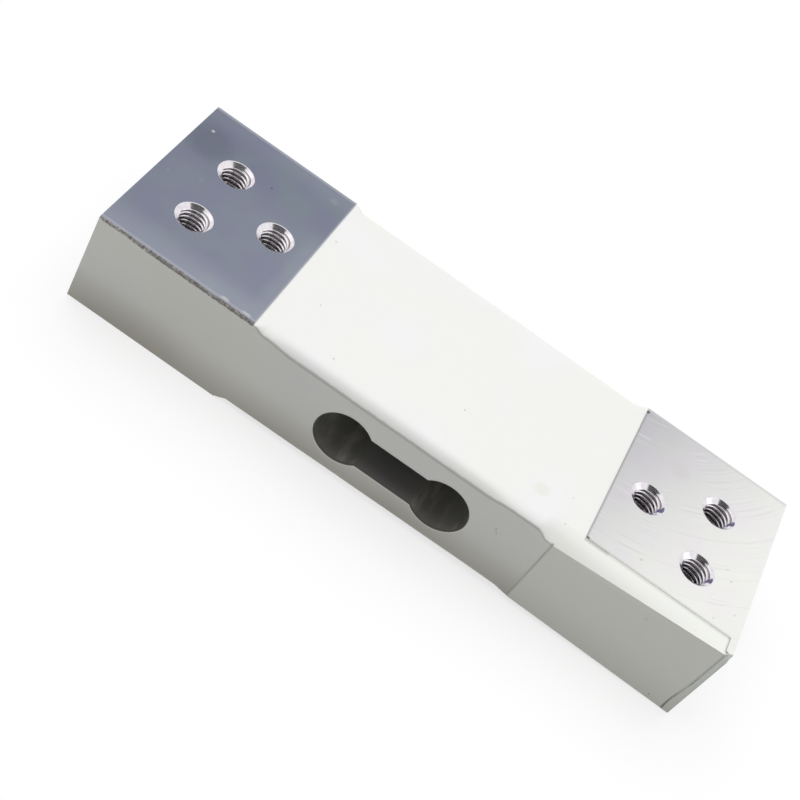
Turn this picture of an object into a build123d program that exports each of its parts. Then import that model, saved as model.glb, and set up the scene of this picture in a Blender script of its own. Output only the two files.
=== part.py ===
from build123d import *
import os

os.makedirs("parts", exist_ok=True)

# Parallel beam load cell, in millimetres. The beam lies along X, +Z is up, and the origin is
# at the bottom centre, in the plane of the two lower pads. +X is the end that takes the cable.

# Beam: one milled aluminium bar, thick at both ends and thinned between them
beam_length = 130.0
beam_width = 40.5
beam_height = 20.6
pad_length = 31.6
waist_depth_top = 3.0
waist_depth_bottom = 2.0
waist_corner_radius = 1.0

# Side opening: two round eyes joined by a lower slot, which leave four webs of the waist's height
opening_spacing = 20.3
web = 2.1
slot_step = 1.85

# Tapped holes: a triangle of three in each end, tapped through, with both mouths opened out
thread_radius = 3.0
mouth_radius = 3.6
mouth_angle = 90
hole_from_end = 11.5
hole_spacing = 15.6
hole_step_in = 13.0

# Wiring recess: milled in the near side of the cable end, closed by a thin end wall
recess_run_in = 4.0
recess_depth = 3.15
end_wall = 1.4
inlet_radius = 2.0
inlet_offset = 0.3
bush_wall = 0.4
bush_length = 10.0

# White jacket: a coat on the sides that runs on as a thick layer round the waist
coat_side = 0.7
coat_step = 0.2
coat_edge_drop = 1.3
coat_round_width = 2.8
coat_ramp = 2.35
pad_edge_fall = 0.1
pad_edge_width = 0.2
mouth_bevel = 0.25

# Filling of the wiring recess, whose top edge sags where the side coat ends
fill_sag = 2.6
fill_step = 0.15
fill_bottom_rise = 1.1
sag_run_in = 3.5
sag_flat = 1.1
sag_overrun = 1.0

# Strain gauges: a resistance grid on a thin carrier, glued over each thin web
gauge_length = 9.0
gauge_width = 6.5
carrier_thickness = 0.12
foil_thickness = 0.06
strand_count = 6
strand_length = 5.0
strand_width = 0.28
strand_spacing = 0.55
carrier_margin = 0.2
grid_offset = -0.9
tab_size = 1.3
tab_spacing = 3.0

# Solder terminals and the jumpers that bridge from each gauge to them
terminal_length = 2.5
terminal_width = 6.0
terminal_thickness = 0.3
terminal_gap = 1.2
land_thickness = 0.08
jumper_width = 0.25
jumper_rise = 0.7

# Flat two-core leads from the terminals to the trim board
lead_width = 1.0
lead_thickness = 0.4
lead_landing = 2.6
outer_lead_run_on = 3.0
inner_lead_run_on = 5.5

# Trim board with its resistors, upright on the floor of the wiring recess
board_gap = 4.6
core_gap = 3.5
board_height = 10.6
board_thickness = 1.1
core_land_size = 1.4
core_land_spacing = 2.2
chip_length = 3.2
chip_width = 1.6
chip_thickness = 0.6
chip_spread = 2.8
foil_resistor_size = 4.0
foil_resistor_thickness = 0.5

# Share of a round corner's width and height at its middle
ROUND_MIDDLE = 0.7071

# Sizes that follow from the ones above
half_length = beam_length / 2
half_width = beam_width / 2
waist_half = half_length - pad_length
floor_top = beam_height - waist_depth_top
floor_bottom = waist_depth_bottom
opening_height = (floor_top + floor_bottom) / 2
opening_radius = (floor_top - floor_bottom) / 2 - web
slot_height = 2 * (opening_radius - slot_step)
outer_half_width = half_width + coat_side
recess_floor = -half_width + recess_depth
recess_start = waist_half - recess_run_in
recess_end = half_length - end_wall
middle_height = beam_height / 2
inlet_centre = recess_floor - inlet_offset
web_centre = opening_spacing / 2
lane_inner = recess_floor - lead_width / 2
lane_outer = recess_floor - board_thickness - lead_width / 2
tab_offset = gauge_length / 2 - tab_size / 2 - carrier_margin
terminal_offset = gauge_length / 2 + terminal_gap + terminal_length / 2
board_start = recess_start + board_gap
board_length = half_length - bush_length - core_gap - board_start
board_middle = board_start + board_length / 2
board_front = recess_floor - board_thickness

hole_places = []
for end in (-1, 1):
    outer_x = end * (half_length - hole_from_end)
    hole_places.append((outer_x, -hole_spacing / 2))
    hole_places.append((outer_x, hole_spacing / 2))
    hole_places.append((outer_x - end * hole_step_in, 0))


def opening_profile():
    """Two round eyes joined by a slot, drawn on the side of the beam."""
    with BuildSketch(Plane.XZ) as profile:
        with Locations((-web_centre, opening_height), (web_centre, opening_height)):
            Circle(opening_radius)
        with Locations((0, opening_height)):
            Rectangle(opening_spacing, slot_height)
    return profile.sketch


def waist_floor(side):
    """Height of the waist's upper (side 1) or lower (side -1) floor."""
    return floor_top if side > 0 else floor_bottom


def floor_plane(side, inward, x, lift=0.0):
    """A plane on that floor, or lift away from it, its x pointing inward."""
    height = waist_floor(side) + side * lift
    return Plane(origin=(x, 0, height), x_dir=(inward, 0, 0), z_dir=(0, 0, side))


def upright_plane(side, inward, x, y):
    """A plane across that floor, its x pointing inward and its y pointing away from the beam."""
    return Plane(
        origin=(x, y, waist_floor(side)), x_dir=(inward, 0, 0), z_dir=(0, -inward * side, 0)
    )


# Bar: the blank that is thinned above and below between its pads
with BuildPart() as bar:
    with BuildSketch(Plane.XZ):
        with Locations((0, middle_height)):
            Rectangle(beam_length, beam_height)
    extrude(amount=half_width, both=True)
    with BuildSketch(Plane.XZ):
        with Locations((0, floor_top)):
            Rectangle(2 * waist_half, beam_height, align=(Align.CENTER, Align.MIN))
        with Locations((0, floor_bottom)):
            Rectangle(2 * waist_half, beam_height, align=(Align.CENTER, Align.MAX))
    extrude(amount=half_width, both=True, mode=Mode.SUBTRACT)
    edges_by_height = bar.edges().filter_by(Axis.Y).group_by(Axis.Z)
    fillet(edges_by_height[1] + edges_by_height[-2], waist_corner_radius)

# Beam: the bar with its opening, tapped holes, wiring recess and cable inlet
with BuildPart() as beam:
    add(bar.part)
    extrude(opening_profile(), amount=half_width, both=True, mode=Mode.SUBTRACT)
    with Locations([(x, y, beam_height) for x, y in hole_places]):
        CounterSinkHole(thread_radius, mouth_radius, counter_sink_angle=mouth_angle)
    with Locations([Location((x, y, 0), (180, 0, 0)) for x, y in hole_places]):
        CounterSinkHole(thread_radius, mouth_radius, counter_sink_angle=mouth_angle)
    with BuildSketch(Plane.XY):
        with Locations((recess_start, -half_width)):
            Rectangle(recess_end - recess_start, recess_depth, align=(Align.MIN, Align.MIN))
    extrude(amount=beam_height, mode=Mode.SUBTRACT)
    with BuildSketch(Plane.YZ.offset(half_length)):
        with Locations((inlet_centre, middle_height)):
            Circle(inlet_radius)
    extrude(amount=-bush_length, mode=Mode.SUBTRACT)
beam.part.label = "beam"
export_step(beam.part, "parts/beam.step")

# Strain gauges, their solder terminals, jumpers and leads, on both floors of the waist
gauge_pieces = []
fill_pieces = []
for level, side in (("top", 1), ("bottom", -1)):
    for place, end in (("left", -1), ("right", 1)):
        web_x = end * web_centre
        inward = -end

        # Carrier with its foil: strands side by side, joined in turn, ending in two tabs
        with BuildPart() as gauge:
            with BuildSketch(floor_plane(side, inward, web_x)):
                Rectangle(gauge_length, gauge_width)
            extrude(amount=carrier_thickness)
            with BuildSketch(floor_plane(side, inward, web_x, lift=carrier_thickness)):
                with Locations((grid_offset, 0)):
                    with GridLocations(0, strand_spacing, 1, strand_count):
                        Rectangle(strand_length, strand_width)
                for turn in range(strand_count - 1):
                    turn_x = grid_offset + (-1 if turn % 2 == 0 else 1) * (strand_length - strand_width) / 2
                    turn_y = (turn - (strand_count - 2) / 2) * strand_spacing
                    with Locations((turn_x, turn_y)):
                        Rectangle(strand_width, strand_spacing + strand_width)
                outer_strand = (strand_count - 1) / 2 * strand_spacing
                with Locations((grid_offset, -outer_strand), (grid_offset, outer_strand)):
                    Rectangle(tab_offset - grid_offset, strand_width, align=(Align.MIN, Align.CENTER))
                with Locations((tab_offset, -tab_spacing / 2), (tab_offset, tab_spacing / 2)):
                    Rectangle(tab_size, tab_size)
            extrude(amount=foil_thickness)
        gauge.part.label = f"gauge_{level}_{place}"
        export_step(gauge.part, f"parts/gauge_{level}_{place}.step")

        # Terminal strip with two solder lands
        terminal_x = web_x + inward * terminal_offset
        with BuildPart() as terminal:
            with BuildSketch(floor_plane(side, inward, terminal_x)):
                Rectangle(terminal_length, terminal_width)
            extrude(amount=terminal_thickness)
            with BuildSketch(floor_plane(side, inward, terminal_x, lift=terminal_thickness)):
                with Locations((0, -tab_spacing / 2), (0, tab_spacing / 2)):
                    Rectangle(terminal_length - 2 * carrier_margin, tab_size)
            extrude(amount=land_thickness)
        terminal.part.label = f"terminal_{level}_{place}"
        export_step(terminal.part, f"parts/terminal_{level}_{place}.step")

        # Two jumpers, each a small arch from a tab of the gauge to a land of the terminal
        foot_low = carrier_thickness + foil_thickness
        foot_high = terminal_thickness + land_thickness
        span_middle = (tab_offset + terminal_offset) / 2
        with BuildPart() as jumpers:
            for jumper_y in (-tab_spacing / 2, tab_spacing / 2):
                with BuildSketch(upright_plane(side, inward, web_x, jumper_y)):
                    with BuildLine():
                        Line((tab_offset, foot_low), (tab_offset + jumper_width, foot_low))
                        ThreePointArc(
                            (tab_offset + jumper_width, foot_low),
                            (span_middle, jumper_rise),
                            (terminal_offset - jumper_width, foot_high),
                        )
                        Line((terminal_offset - jumper_width, foot_high), (terminal_offset, foot_high))
                        ThreePointArc(
                            (terminal_offset, foot_high),
                            (span_middle, jumper_rise + jumper_width),
                            (tab_offset, foot_low),
                        )
                    make_face()
                extrude(amount=jumper_width / 2, both=True)
        jumpers.part.label = f"jumpers_{level}_{place}"
        export_step(jumpers.part, f"parts/jumpers_{level}_{place}.step")

        # Flat lead: across the floor, along the near side, then down the recess to the board
        lane = lane_outer if end < 0 else lane_inner
        board_top = middle_height + side * board_height / 2
        if end < 0:
            drop_x = board_start + outer_lead_run_on
            lead_end = board_top - side * lead_landing
        else:
            drop_x = board_start + inner_lead_run_on
            lead_end = board_top
        floor = waist_floor(side)
        with BuildPart() as lead:
            with BuildSketch(Plane.XY.offset(floor)):
                with Locations((terminal_x, -terminal_width / 2)):
                    Rectangle(
                        lead_width,
                        -terminal_width / 2 - lane + lead_width / 2,
                        align=(Align.CENTER, Align.MAX),
                    )
                with Locations((terminal_x - lead_width / 2, lane)):
                    Rectangle(
                        drop_x - terminal_x + lead_width / 2, lead_width, align=(Align.MIN, Align.CENTER)
                    )
            extrude(amount=side * lead_thickness)
            with BuildSketch(Plane.XY.offset(floor)):
                with Locations((drop_x, lane)):
                    Rectangle(lead_thickness, lead_width, align=(Align.MAX, Align.CENTER))
            extrude(amount=lead_end - floor)
        lead.part.label = f"lead_{level}_{place}"
        export_step(lead.part, f"parts/lead_{level}_{place}.step")
        gauge_pieces += [gauge.part, terminal.part, jumpers.part, lead.part]
        fill_pieces += [lead.part]

# Trim board, upright on the recess floor, with four lands for the cores of the cable
with BuildPart() as trim_board:
    with BuildSketch(Plane.XZ.offset(-recess_floor)):
        with Locations((board_middle, middle_height)):
            Rectangle(board_length, board_height)
    extrude(amount=board_thickness)
    with BuildSketch(Plane.XZ.offset(-board_front)):
        with Locations((board_start + board_length - core_land_size, middle_height)):
            with GridLocations(0, core_land_spacing, 1, 4):
                Rectangle(core_land_size, core_land_size)
    extrude(amount=land_thickness)
trim_board.part.label = "trim_board"
export_step(trim_board.part, "parts/trim_board.step")
fill_pieces.append(trim_board.part)

# Trim resistors on the board: two chips and one foil resistor between them and the lands
chip_x = board_start + outer_lead_run_on + chip_length
for chip_name, chip_z in (("zero_resistor", chip_spread), ("span_resistor", -chip_spread)):
    with BuildPart() as chip:
        with BuildSketch(Plane.XZ.offset(-board_front)):
            with Locations((chip_x, middle_height + chip_z)):
                Rectangle(chip_length, chip_width)
        extrude(amount=chip_thickness)
    chip.part.label = chip_name
    export_step(chip.part, f"parts/{chip_name}.step")
    fill_pieces.append(chip.part)

with BuildPart() as foil_resistor:
    with BuildSketch(Plane.XZ.offset(-board_front)):
        with Locations((chip_x + chip_length + foil_resistor_size / 2, middle_height)):
            Rectangle(foil_resistor_size, foil_resistor_size)
    extrude(amount=foil_resistor_thickness)
foil_resistor.part.label = "temperature_resistor"
export_step(foil_resistor.part, "parts/temperature_resistor.step")
fill_pieces.append(foil_resistor.part)

# Cable bush: a rubber sleeve in the end wall, open for the cable
with BuildPart() as cable_bush:
    with BuildSketch(Plane.YZ.offset(half_length)):
        with Locations((inlet_centre, middle_height)):
            Circle(inlet_radius)
            Circle(inlet_radius - bush_wall, mode=Mode.SUBTRACT)
    extrude(amount=-bush_length)
with BuildPart() as inlet_plug:
    with BuildSketch(Plane.YZ.offset(half_length)):
        with Locations((inlet_centre, middle_height)):
            Circle(inlet_radius)
    extrude(amount=-bush_length)
cable_bush.part.label = "cable_bush"
export_step(cable_bush.part, "parts/cable_bush.step")

# Heights of the jacket's flat faces, of its long edges, and of its sag with the cut above it
flat_top = beam_height - coat_step
flat_bottom = coat_step
edge_top = beam_height - coat_edge_drop
sag_top = beam_height - fill_sag
sag_cut_top = 2 * beam_height


def jacket_section(x, drop, width):
    """The jacket's outline at x. Its four corners are rounded off, drop high and width wide."""
    flat = outer_half_width - width
    bend = outer_half_width - width * (1 - ROUND_MIDDLE)
    rise = drop * (1 - ROUND_MIDDLE)
    with BuildSketch(Plane.YZ.offset(x)) as section:
        with BuildLine():
            for turn, face, next_face in ((1, flat_top, flat_bottom), (-1, flat_bottom, flat_top)):
                low = face - turn * drop
                next_low = next_face + turn * drop
                side_y = turn * outer_half_width
                Line((-turn * flat, face), (turn * flat, face))
                ThreePointArc((turn * flat, face), (turn * bend, face - turn * rise), (side_y, low))
                Line((side_y, low), (side_y, next_low))
                ThreePointArc(
                    (side_y, next_low), (turn * bend, next_face + turn * rise), (turn * flat, next_face)
                )
        make_face()
    return section.sketch


def sag_height(outer_height, y):
    """Height of the sagging top at y: outer_height at the near side, flush at the recess floor."""
    share = (y + outer_half_width) / (recess_floor + outer_half_width)
    return outer_height + share * (flat_top - outer_height)


# Sag: what is missing from the jacket's near top edge just before the wiring recess
with BuildPart() as sag:
    for sag_y in (-outer_half_width, recess_floor + sag_overrun):
        with BuildSketch(Plane.XZ.offset(-sag_y)):
            with BuildLine():
                Polyline(
                    (recess_start - sag_run_in, sag_height(edge_top, sag_y)),
                    (recess_start - sag_flat, sag_height(sag_top, sag_y)),
                    (recess_start, sag_height(sag_top, sag_y)),
                    (recess_start, sag_cut_top),
                    (recess_start - sag_run_in, sag_cut_top),
                    close=True,
                )
            make_face()
    loft(ruled=True)

# Jacket: side coats over the whole length and the thick layer round the waist
edge_fall = coat_edge_drop - coat_step
with BuildPart() as jacket:
    loft(
        sections=[
            jacket_section(-waist_half, pad_edge_fall, pad_edge_width),
            jacket_section(-waist_half + coat_ramp, edge_fall, coat_round_width),
            jacket_section(waist_half - coat_ramp, edge_fall, coat_round_width),
            jacket_section(waist_half, pad_edge_fall, pad_edge_width),
        ],
        ruled=True,
    )
    with BuildSketch(Plane.XY):
        with Locations((-(half_length + waist_half) / 2, 0), ((half_length + waist_half) / 2, 0)):
            Rectangle(pad_length, 2 * outer_half_width)
    extrude(amount=beam_height)
    add(bar.part, mode=Mode.SUBTRACT)
    with BuildSketch(Plane.XY):
        with Locations((recess_start, -outer_half_width)):
            Rectangle(half_length, recess_floor + outer_half_width, align=(Align.MIN, Align.MIN))
    extrude(amount=beam_height, mode=Mode.SUBTRACT)
    add(sag.part, mode=Mode.SUBTRACT)
    extrude(opening_profile(), amount=outer_half_width, both=True, mode=Mode.SUBTRACT)
    faces_by_depth = jacket.faces().filter_by(Axis.Y).group_by(Axis.Y)
    mouth_edges = ShapeList()
    for face in faces_by_depth[0] + faces_by_depth[-1]:
        for mouth in face.inner_wires():
            mouth_edges += mouth.edges()
    chamfer(mouth_edges, mouth_bevel)
    for piece in gauge_pieces:
        add(piece, mode=Mode.SUBTRACT)
jacket.part.label = "jacket"
export_step(jacket.part, "parts/jacket.step")

# End coat: the strip of side coat that is left on the thin end wall
with BuildPart() as end_coat:
    with BuildSketch(Plane.XY):
        with Locations((recess_end, -outer_half_width)):
            Rectangle(end_wall, coat_side, align=(Align.MIN, Align.MIN))
    extrude(amount=beam_height)
end_coat.part.label = "end_coat"
export_step(end_coat.part, "parts/end_coat.step")

# Recess filling: cast round the board and the leads, sagging towards the near side
with BuildPart() as recess_filling:
    for fill_y, low, high in (
        (-outer_half_width, fill_bottom_rise, sag_top),
        (recess_floor, flat_bottom, flat_top),
    ):
        with BuildSketch(Plane.XZ.offset(-fill_y)):
            with BuildLine():
                Polyline(
                    (recess_start, low),
                    (recess_end, fill_step),
                    (recess_end, beam_height - fill_step),
                    (recess_start, high),
                    close=True,
                )
            make_face()
    loft(ruled=True)
    for piece in fill_pieces:
        add(piece, mode=Mode.SUBTRACT)
    add(inlet_plug.part, mode=Mode.SUBTRACT)
recess_filling.part.label = "recess_filling"
export_step(recess_filling.part, "parts/recess_filling.step")
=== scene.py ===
# %% [markdown]
# # Dressing a parallel beam load cell
#
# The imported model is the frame: an aluminium beam, its white coat and the parts sealed inside it.
# This lesson lights it, gives it smooth coats and real screw threads, and works out each finish.
# Shapes are surfaces made with numpy, in millimetres, and every finish is built from nodes.

# %% The frame
import math

import bpy
import numpy as np
from mathutils import Matrix, Vector


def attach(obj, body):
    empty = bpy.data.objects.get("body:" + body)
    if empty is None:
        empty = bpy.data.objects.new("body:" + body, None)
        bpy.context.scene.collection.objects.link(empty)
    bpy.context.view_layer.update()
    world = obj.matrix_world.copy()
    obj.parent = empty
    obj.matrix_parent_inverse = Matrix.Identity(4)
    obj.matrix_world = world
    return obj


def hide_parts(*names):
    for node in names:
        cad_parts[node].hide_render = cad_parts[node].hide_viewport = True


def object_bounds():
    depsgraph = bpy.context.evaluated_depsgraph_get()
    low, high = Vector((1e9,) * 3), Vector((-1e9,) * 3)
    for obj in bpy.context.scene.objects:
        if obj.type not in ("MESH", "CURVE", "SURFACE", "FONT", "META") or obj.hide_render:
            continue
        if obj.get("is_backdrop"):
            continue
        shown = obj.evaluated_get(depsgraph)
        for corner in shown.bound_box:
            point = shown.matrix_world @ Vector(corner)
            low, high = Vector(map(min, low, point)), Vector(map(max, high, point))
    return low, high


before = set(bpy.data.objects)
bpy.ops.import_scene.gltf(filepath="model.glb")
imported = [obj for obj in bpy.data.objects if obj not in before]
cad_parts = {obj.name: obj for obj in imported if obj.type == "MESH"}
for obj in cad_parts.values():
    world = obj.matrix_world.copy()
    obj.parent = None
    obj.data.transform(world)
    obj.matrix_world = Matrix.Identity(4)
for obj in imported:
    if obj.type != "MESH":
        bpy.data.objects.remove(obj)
cad_low, cad_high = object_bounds()
MM = 0.001
print("nodes:", len(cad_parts), "box in mm:", [round(v / MM, 2) for v in (*cad_low, *cad_high)])

# %% [markdown]
# ## Camera
#
# The cell lies flat and is seen from above its near side, with the camera rolled, so that the long
# edges run down to the right. A rolled camera is easiest to write as its own three axes: the way to
# its right, the way it looks, and the way up, which is square to both.

# %% Camera


def put(name, data):
    """A new object with this data, in the scene."""
    made = bpy.data.objects.new(name, data)
    bpy.context.scene.collection.objects.link(made)
    return made


camera_place = Vector((-7.73, -209.49, 208.0)) * MM
camera_right = Vector((0.8194, 0.3945, 0.4158)).normalized()
camera_back = -Vector((0.0067, 0.7187, -0.6953)).normalized()
camera_up = camera_back.cross(camera_right).normalized()
camera_data = bpy.data.cameras.new("camera")
camera_data.lens = 71.04
camera_data.sensor_width = 36.0
camera_data.clip_start, camera_data.clip_end = 0.01, 50.0
camera = put("camera", camera_data)
axes = Matrix((camera_right, camera_up, camera_back)).transposed().to_4x4()
camera.matrix_world = Matrix.Translation(camera_place) @ axes
bpy.context.scene.camera = camera
print("camera stands", round(camera_place.length / MM), "mm from the middle of the base")

# %% [markdown]
# ## Small helpers for node trees
#
# A finish is a tree of nodes. One helper makes a node, sets its options and fills its sockets, with
# a value or with a link from another node. Everything below is built with it.

# %% A helper for nodes


class Tree:
    """Adds nodes to one node tree: tree.add(type, {socket: value or output}, option=value)."""

    def __init__(self, tree):
        self.tree = tree
        tree.nodes.clear()

    def fill(self, socket, value):
        """Links another node's output to the socket, or sets the socket to a plain value."""
        if isinstance(value, bpy.types.NodeSocket):
            self.tree.links.new(value, socket)
        else:
            socket.default_value = value

    def add(self, kind, sockets=None, **options):
        """A new node with its options set, and its sockets filled by name or by number."""
        made = self.tree.nodes.new(kind)
        for option, value in options.items():
            setattr(made, option, value)
        for name, value in (sockets or {}).items():
            self.fill(made.inputs[name], value)
        return made

    def math(self, operation, *values):
        """The result of one operation on numbers or outputs."""
        return self.add("ShaderNodeMath", dict(enumerate(values)), operation=operation).outputs[0]

    def product(self, *masks):
        """All masks multiplied, so it is 1 only where each of them is."""
        made = masks[0]
        for mask in masks[1:]:
            made = self.math("MULTIPLY", made, mask)
        return made

    def apart(self, value, centre):
        """How far a value lies from the centre, to either side."""
        return self.math("ABSOLUTE", self.math("SUBTRACT", value, centre))

    def step(self, value, low, high):
        """0 below low and 1 above high, with a soft change between. It falls if low is above high."""
        rising = low < high
        ends = {"From Min": min(low, high), "From Max": max(low, high),
                "To Min": 0.0 if rising else 1.0, "To Max": 1.0 if rising else 0.0}
        made = self.add("ShaderNodeMapRange", {"Value": value, **ends}, interpolation_type="SMOOTHSTEP")
        return made.outputs["Result"]

    def between(self, share, low, high):
        """low where the share is 0 and high where it is 1: share times (high - low), plus low."""
        return self.math("MULTIPLY_ADD", share, high - low, low)

    def mix(self, share, first, second):
        """The first colour where the share is 0, and the second where it is 1."""
        return self.add("ShaderNodeMix", {0: share, 6: first, 7: second}, data_type="RGBA").outputs[2]

    def vector(self, operation, *values):
        """One operation on vectors: a number for LENGTH and DISTANCE, and a vector for the rest."""
        made = self.add("ShaderNodeVectorMath", dict(enumerate(values)), operation=operation)
        return made.outputs["Value" if operation in ("LENGTH", "DISTANCE") else "Vector"]

    def noise(self, place, scale, detail, roughness=0.5):
        """Random hills between 0 and 1, about scale of them to a unit, under layers of finer ones."""
        sockets = {"Vector": place, "Scale": scale, "Detail": detail, "Roughness": roughness}
        return self.add("ShaderNodeTexNoise", sockets).outputs[0]


def tree_of(owner):
    """The node tree of a new material or world, emptied."""
    owner.use_nodes = True
    return Tree(owner.node_tree)


print("node helper ready")

# %% [markdown]
# ## Light
#
# A product table has one broad light from above and a little light from all round. A sun with a wide
# angle gives the first, with soft shadows, and the world the second. The world looks white to the
# camera and in reflections, but lights the cell less. The broad light stays out of reflections, so
# bare metal shows the colour that it is given.

# %% Light
SKY_STRENGTH = 0.42
SUN_STRENGTH = 1.93
SUN_WIDTH, SUN_TILT = 70.0, (-14.0, -8.0, 0.0)
WHITE = (1.0, 1.0, 1.0, 1.0)


def seen_directly(tree):
    """1 for rays from the camera, in reflections and through glass, and 0 for light that is thrown on."""
    path = tree.add("ShaderNodeLightPath")
    seen = tree.math("MAXIMUM", path.outputs["Is Camera Ray"], path.outputs["Is Glossy Ray"])
    return tree.math("MAXIMUM", seen, path.outputs["Is Transmission Ray"])


world = bpy.data.worlds.new("studio")
tree = tree_of(world)
strength = tree.between(seen_directly(tree), SKY_STRENGTH, 1.0)
sky = tree.add("ShaderNodeBackground", {"Color": WHITE, "Strength": strength})
tree.add("ShaderNodeOutputWorld", {"Surface": sky.outputs[0]})
bpy.context.scene.world = world
bpy.context.scene.view_settings.view_transform = "Standard"

sun_data = bpy.data.lights.new("broad_light", "SUN")
sun_data.energy = SUN_STRENGTH
sun_data.angle = math.radians(SUN_WIDTH)
sun = put("broad_light", sun_data)
sun.rotation_euler = [math.radians(degrees) for degrees in SUN_TILT]
sun.visible_glossy = False
print("broad light", SUN_WIDTH, "degrees wide, at", SUN_STRENGTH, "and the sky at", SKY_STRENGTH)

# %% [markdown]
# ## Floor
#
# The floor is a plain white sheet that keeps a soft shadow. The camera and reflections see it as a
# blend of white and of a sheet that takes shadows, while the light that it throws back on the cell
# is that of a duller, slightly warm table. It lies a hair below the cell, so no faces coincide.

# %% Floor
FLOOR_SIZE, FLOOR_HEIGHT = 3.0, -0.00002
SHADOW_SHARE = 0.3
TABLE_BOUNCE = (0.39, 0.387, 0.36, 1.0)


def rectangle(name, corners, material):
    """A flat rectangle of one material, from its four corners."""
    mesh = bpy.data.meshes.new(name)
    mesh.from_pydata(corners, [], [(0, 1, 2, 3)])
    mesh.materials.append(material)
    return put(name, mesh)


floor_material = bpy.data.materials.new("floor")
tree = tree_of(floor_material)
floor_colour = tree.mix(seen_directly(tree), TABLE_BOUNCE, WHITE)
lit = tree.add("ShaderNodeBsdfDiffuse", {"Color": floor_colour})
white = tree.add("ShaderNodeEmission", {"Color": WHITE, "Strength": 1.0})
share = tree.product(seen_directly(tree), 1.0 - SHADOW_SHARE)
floor_shader = tree.add("ShaderNodeMixShader", {0: share, 1: lit.outputs[0], 2: white.outputs[0]})
tree.add("ShaderNodeOutputMaterial", {"Surface": floor_shader.outputs[0]})
half = FLOOR_SIZE / 2
corners = [(x, y, FLOOR_HEIGHT) for x, y in ((-half, -half), (half, -half), (half, half), (-half, half))]
floor = rectangle("floor", corners, floor_material)
floor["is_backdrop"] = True
print("floor", FLOOR_SIZE, "m wide")

# %% [markdown]
# Polished metal shows what stands round it. In a studio that is bright paper on all sides, strip
# lamps, and a few dark shapes. Four cards do the same here. They are seen only in reflections, and
# draw the bright crescents and the dark bands in the mouths of the holes.

# %% Cards for the reflections
CARD_DISTANCE = 0.7
PAPER, SHADE = WHITE, (0.58, 0.55, 1.0, 1.0)


def add_card(name, way, width, height, colour, level):
    """A rectangle facing the cell from the given way, glowing evenly, and seen only in reflections."""
    way = Vector(way).normalized()
    across = Vector((0.0, 0.0, 1.0)).cross(way).normalized() * width / 2
    upward = way.cross(across).normalized() * height / 2
    low, high = way * CARD_DISTANCE - upward, way * CARD_DISTANCE + upward
    material = bpy.data.materials.new(name)
    tree = tree_of(material)
    glow = tree.add("ShaderNodeEmission", {"Color": colour, "Strength": level})
    tree.add("ShaderNodeOutputMaterial", {"Surface": glow.outputs[0]})
    card = rectangle(name, [low - across, low + across, high + across, high - across], material)
    card.visible_camera = card.visible_diffuse = card.visible_transmission = card.visible_shadow = False
    card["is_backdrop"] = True


add_card("dark_card", (0.10, -0.38, 0.92), 0.64, 0.38, PAPER, 0.1)
add_card("blue_card", (-0.45, 0.80, 0.36), 0.30, 0.36, SHADE, 0.28)
add_card("right_strip", (0.90, 0.10, 0.40), 0.60, 0.35, PAPER, 1.3)
add_card("left_strip", (-0.78, -0.10, 0.62), 0.45, 0.40, PAPER, 1.3)
print("cards stand", CARD_DISTANCE, "m away")

# %% [markdown]
# ## From arrays to a piece
#
# A surface is a grid of points. Grids that share an edge are laid out with the same points there,
# so they can be welded by place: points that agree to a ten-thousandth of a millimetre become one.
# Triangles left with no area by the weld are dropped. The rest is handed to Blender in one go.

# %% Grids, welding and pieces
WELD = 1e-4


def grid_triangles(rows, columns, turned=False):
    """Two triangles for every cell of a rows x columns grid, numbered row by row."""
    number = np.arange(rows * columns).reshape(rows, columns)
    a, b, c, d = number[:-1, :-1], number[:-1, 1:], number[1:, 1:], number[1:, :-1]
    cells = np.stack([a, b, c, a, c, d], axis=-1).reshape(-1, 3)
    return cells[:, ::-1] if turned else cells


def weld(points, triangles, *measures):
    """Points that share a place become one, and triangles that lose a corner are dropped."""
    keys = np.floor(points / WELD + 0.5 + 1e-3).astype(np.int64)
    _, first, number = np.unique(keys, axis=0, return_index=True, return_inverse=True)
    triangles = number.reshape(-1)[triangles]
    a, b, c = triangles.T
    whole = (a != b) & (b != c) & (c != a)
    return (points[first], triangles[whole], *(m[first] for m in measures))


def open_edges(triangles):
    """The directed edges that only one triangle has."""
    edges = np.concatenate([triangles[:, [0, 1]], triangles[:, [1, 2]], triangles[:, [2, 0]]])
    size = triangles.max() + 1
    there = edges[:, 0] * size + edges[:, 1]
    back = edges[:, 1] * size + edges[:, 0]
    return edges[~np.isin(there, back)]


def make_piece(name, points, triangles, slot, sharp=35.0, **measures):
    """Makes a piece from points in mm. Each measure becomes a value that its finish can read."""
    mesh = bpy.data.meshes.new(name)
    mesh.from_pydata((points * MM).tolist(), [], triangles.tolist())
    for measure, values in measures.items():
        layer = mesh.attributes.new(measure, "FLOAT", "POINT")
        layer.data.foreach_set("value", values.astype(np.float32))
    mesh.shade_smooth()
    mesh.set_sharp_from_angle(angle=math.radians(sharp))
    mesh.validate()
    piece = put(name, mesh)
    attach(piece, "root")
    print(name, "points", len(points), "triangles", len(triangles), "open edges", len(open_edges(triangles)))
    return piece


print("points closer than", WELD, "mm are welded")

# %% [markdown]
# ## The white coat: sizes
#
# On the real cell the coat is brushed and cast over the gauges: a thin skin on both long sides and a
# thick layer above and below the thinned middle, almost level with the bare pads. It is made as a
# surface whose heights are functions of the place, because every soft change of such a coat can be
# written as one more term. First come the sizes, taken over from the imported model.

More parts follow.
